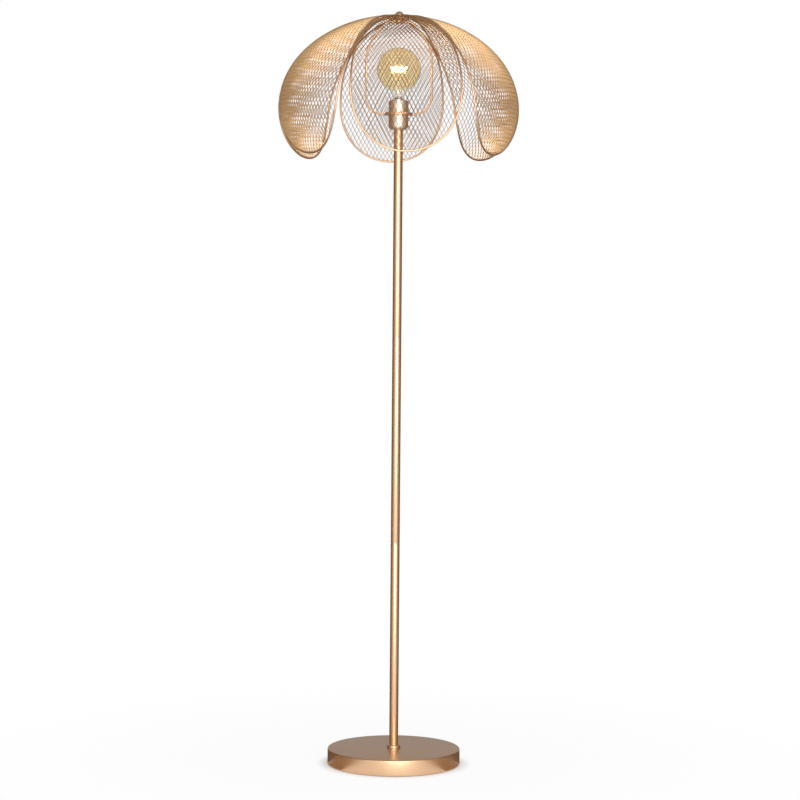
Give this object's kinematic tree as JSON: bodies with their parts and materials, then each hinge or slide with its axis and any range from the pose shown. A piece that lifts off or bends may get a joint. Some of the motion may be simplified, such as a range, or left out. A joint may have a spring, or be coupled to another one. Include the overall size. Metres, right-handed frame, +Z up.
{
  "type": "wire cage floor lamp",
  "caption": "Standing lamp with a weighted round base, a slim sectional pole and a flower-like globe shade of mesh petals round a glass globe bulb.",
  "frame": {"origin": "middle of the base's underside, on the floor", "axes": "+Z up along the pole, -Y towards the front as pictured, +X to the right"},
  "size_m": [0.504, 0.5012, 1.585],
  "materials": {
    "satin_paint": "satin copper-gold metallic lacquer on steel",
    "mesh_paint": "the same lacquer on expanded steel mesh",
    "polished_brass": "lacquered brass dome",
    "cast_weight": "raw casting with a dark wash coat",
    "pad": "black foam rubber pad",
    "zinc_steel": "zinc-plated steel",
    "inlet_plastic": "black moulded plastic",
    "terminal_plastic": "off-white moulded plastic",
    "lead_sheath": "pale flexible sheath",
    "porcelain": "glazed white ceramic",
    "brass_sheet": "stamped brass sheet",
    "amber_glass": "amber tinted clear glass",
    "clear_glass": "clear glass",
    "black_glass": "black vitrified glass",
    "nickel_cap": "nickel-plated aluminium",
    "solder_tip": "tinned contact",
    "lit_filament": "lit filament rod with a yellow coat"
  },
  "bodies": {
    "lamp_stand": {"base_pad": "pad", "base_weight": "cast_weight", "base_cover": "satin_paint", "base_collar": "satin_paint", "base_nipple": "zinc_steel", "base_washer": "zinc_steel", "base_nut": "zinc_steel", "cable_gland": "inlet_plastic", "terminal_block": "terminal_plastic", "inner_lead": "lead_sheath", "pole_lower": "satin_paint", "pole_middle": "satin_paint", "pole_upper": "satin_paint", "pole_coupler_lower": "zinc_steel", "pole_coupler_upper": "zinc_steel", "pole_foot_insert": "zinc_steel", "pole_top_insert": "zinc_steel", "holder_nipple": "zinc_steel", "holder_locknut": "zinc_steel", "holder_cup": "satin_paint", "holder_core": "porcelain", "holder_shell": "satin_paint", "thread_shell": "brass_sheet", "centre_contact": "brass_sheet"},
    "clamp_ring": {"shade_ring": "satin_paint"},
    "shade": {"harp_plate": "satin_paint", "harp_arm_right": "satin_paint", "harp_arm_left": "satin_paint", "hub_boss": "satin_paint", "hub_disc": "satin_paint", "clamp_washer": "satin_paint", "petal_tab_1": "satin_paint", "petal_tab_2": "satin_paint", "petal_tab_3": "satin_paint", "petal_tab_4": "satin_paint", "petal_tab_5": "satin_paint", "petal_tab_6": "satin_paint", "petal_rim_1": "satin_paint", "petal_rim_2": "satin_paint", "petal_rim_3": "satin_paint", "petal_rim_4": "satin_paint", "petal_rim_5": "satin_paint", "petal_rim_6": "satin_paint", "petal_mesh_1": "mesh_paint", "petal_mesh_2": "mesh_paint", "petal_mesh_3": "mesh_paint", "petal_mesh_4": "mesh_paint", "petal_mesh_5": "mesh_paint", "petal_mesh_6": "mesh_paint"},
    "bulb_seat": {"bulb_contact_tip": "solder_tip"},
    "bulb": {"bulb_glass": "amber_glass", "bulb_cap": "nickel_cap", "bulb_cap_insulator": "black_glass", "bulb_stem": "clear_glass", "bulb_filaments": "lit_filament"},
    "finial_seat": {"finial_washer": "satin_paint"},
    "finial_dome": {"finial": "polished_brass"}
  },
  "joints": [
    {"name": "shade_swivel", "type": "hinge", "parent": "lamp_stand", "child": "shade", "pos_m": [0, 0, 1.3701], "axis": [0, 0, 1], "continuous": true},
    {"name": "ring_turn", "type": "hinge", "parent": "lamp_stand", "child": "clamp_ring", "pos_m": [0, 0, 1.3726], "axis": [0, 0, 1], "range_deg": [0, 90]},
    {"name": "bulb_rise", "type": "slide", "parent": "lamp_stand", "child": "bulb_seat", "axis": [0, 0, 1], "range_m": [0, 0.018]},
    {"name": "bulb_turn", "type": "hinge", "parent": "bulb_seat", "child": "bulb", "pos_m": [0, 0, 1.464], "axis": [0, 0, 1], "range_deg": [0, 1800]},
    {"name": "finial_rise", "type": "slide", "parent": "shade", "child": "finial_seat", "axis": [0, 0, 1], "range_m": [0, 0.006]},
    {"name": "finial_turn", "type": "hinge", "parent": "finial_seat", "child": "finial_dome", "pos_m": [0, 0, 1.58], "axis": [0, 0, 1], "range_deg": [0, 2165]}
  ],
  "couplings": [
    {"joint": "bulb_turn", "follows": "bulb_rise", "rad_per_m": 1731.4},
    {"joint": "finial_turn", "follows": "finial_rise", "rad_per_m": 6283.2}
  ]
}
